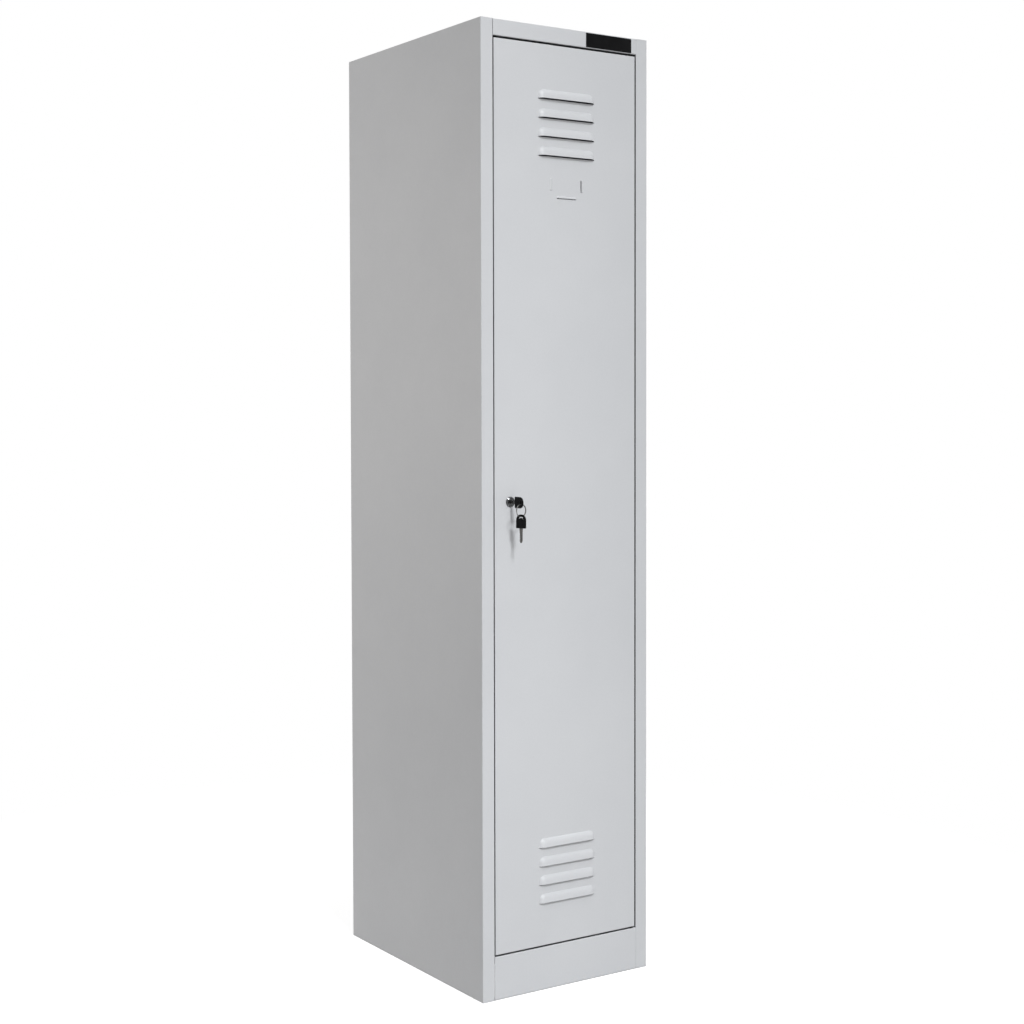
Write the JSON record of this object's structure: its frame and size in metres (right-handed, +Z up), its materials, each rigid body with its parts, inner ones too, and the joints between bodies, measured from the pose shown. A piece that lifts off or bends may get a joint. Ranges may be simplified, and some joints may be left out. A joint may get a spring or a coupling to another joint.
{
  "type": "locker cabinet",
  "caption": "Tall single-door steel locker with pressed louvres, card lances, a hat shelf, a hanging rail and a cam lock with its key.",
  "frame": {"origin": "on the floor, centred on the width, in the plane of the back panel's rear face", "axes": "+Z up, +Y out of the back, so the door faces -Y; +X to the right of someone facing the door"},
  "size_m": [0.38, 0.547, 1.8],
  "materials": {
    "paint": "light grey powder coat, fine orange peel, satin",
    "zinc": "zinc plated, satin",
    "chrome": "polished",
    "key_metal": "nickel plated, worn",
    "black_plastic": "fine moulded grain",
    "rubber": "matt",
    "nylon": "natural nylon"
  },
  "bodies": {
    "cabinet": {"left_side_panel": "paint", "right_side_panel": "paint", "back_panel": "paint", "top_panel": "paint", "plinth_panel": "paint", "floor_panel": "paint", "hat_shelf": "paint", "shelf_clips": "paint", "hanging_rail": "zinc", "rail_socket_left": "black_plastic", "rail_socket_right": "black_plastic", "back_rivets": "paint", "upper_pivot_pin": "zinc", "lower_pivot_pin": "zinc", "door_buffers": "rubber"},
    "door": {"door_skin": "paint", "door_stiffener": "paint", "upper_hinge_bracket": "zinc", "lower_hinge_bracket": "zinc", "upper_pivot_bush": "nylon", "lower_pivot_bush": "nylon", "lock_housing": "chrome", "lock_nut": "zinc"},
    "lock": {"lock_plug": "chrome", "lock_cam": "zinc", "cam_screw": "zinc"},
    "key": {"key_blade": "key_metal", "key_bow": "black_plastic"},
    "ring": {"key_ring": "key_metal"},
    "spare_key": {"spare_key_blade": "key_metal", "spare_key_bow": "black_plastic"},
    "left_hook": {"coat_hook_left": "zinc"},
    "right_hook": {"coat_hook_right": "zinc"}
  },
  "joints": [
    {"name": "door_hinge", "type": "hinge", "parent": "cabinet", "child": "door", "pos_m": [0.153, -0.494, 0.9], "axis": [0, 0, 1], "range_deg": [0, 110]},
    {"name": "lock_turn", "type": "hinge", "parent": "door", "child": "lock", "pos_m": [-0.128, -0.5, 0.921], "axis": [0, 1, 0], "range_deg": [0, 90]},
    {"name": "key_slide", "type": "slide", "parent": "lock", "child": "key", "axis": [0, -1, 0], "range_m": [0, 0.02]},
    {"name": "ring_swing", "type": "hinge", "parent": "key", "child": "ring", "pos_m": [-0.128, -0.53577, 0.91805], "axis": [0.9903, 0.1392, 0], "range_deg": [-45, 12]},
    {"name": "spare_key_swing", "type": "hinge", "parent": "ring", "child": "spare_key", "pos_m": [-0.128, -0.53577, 0.89555], "axis": [0.9903, 0.1392, 0], "range_deg": [-30, 8]},
    {"name": "left_hook_slide", "type": "slide", "parent": "cabinet", "child": "left_hook", "axis": [1, 0, 0], "range_m": [-0.1, 0.05]},
    {"name": "right_hook_slide", "type": "slide", "parent": "cabinet", "child": "right_hook", "axis": [1, 0, 0], "range_m": [-0.05, 0.1]}
  ]
}
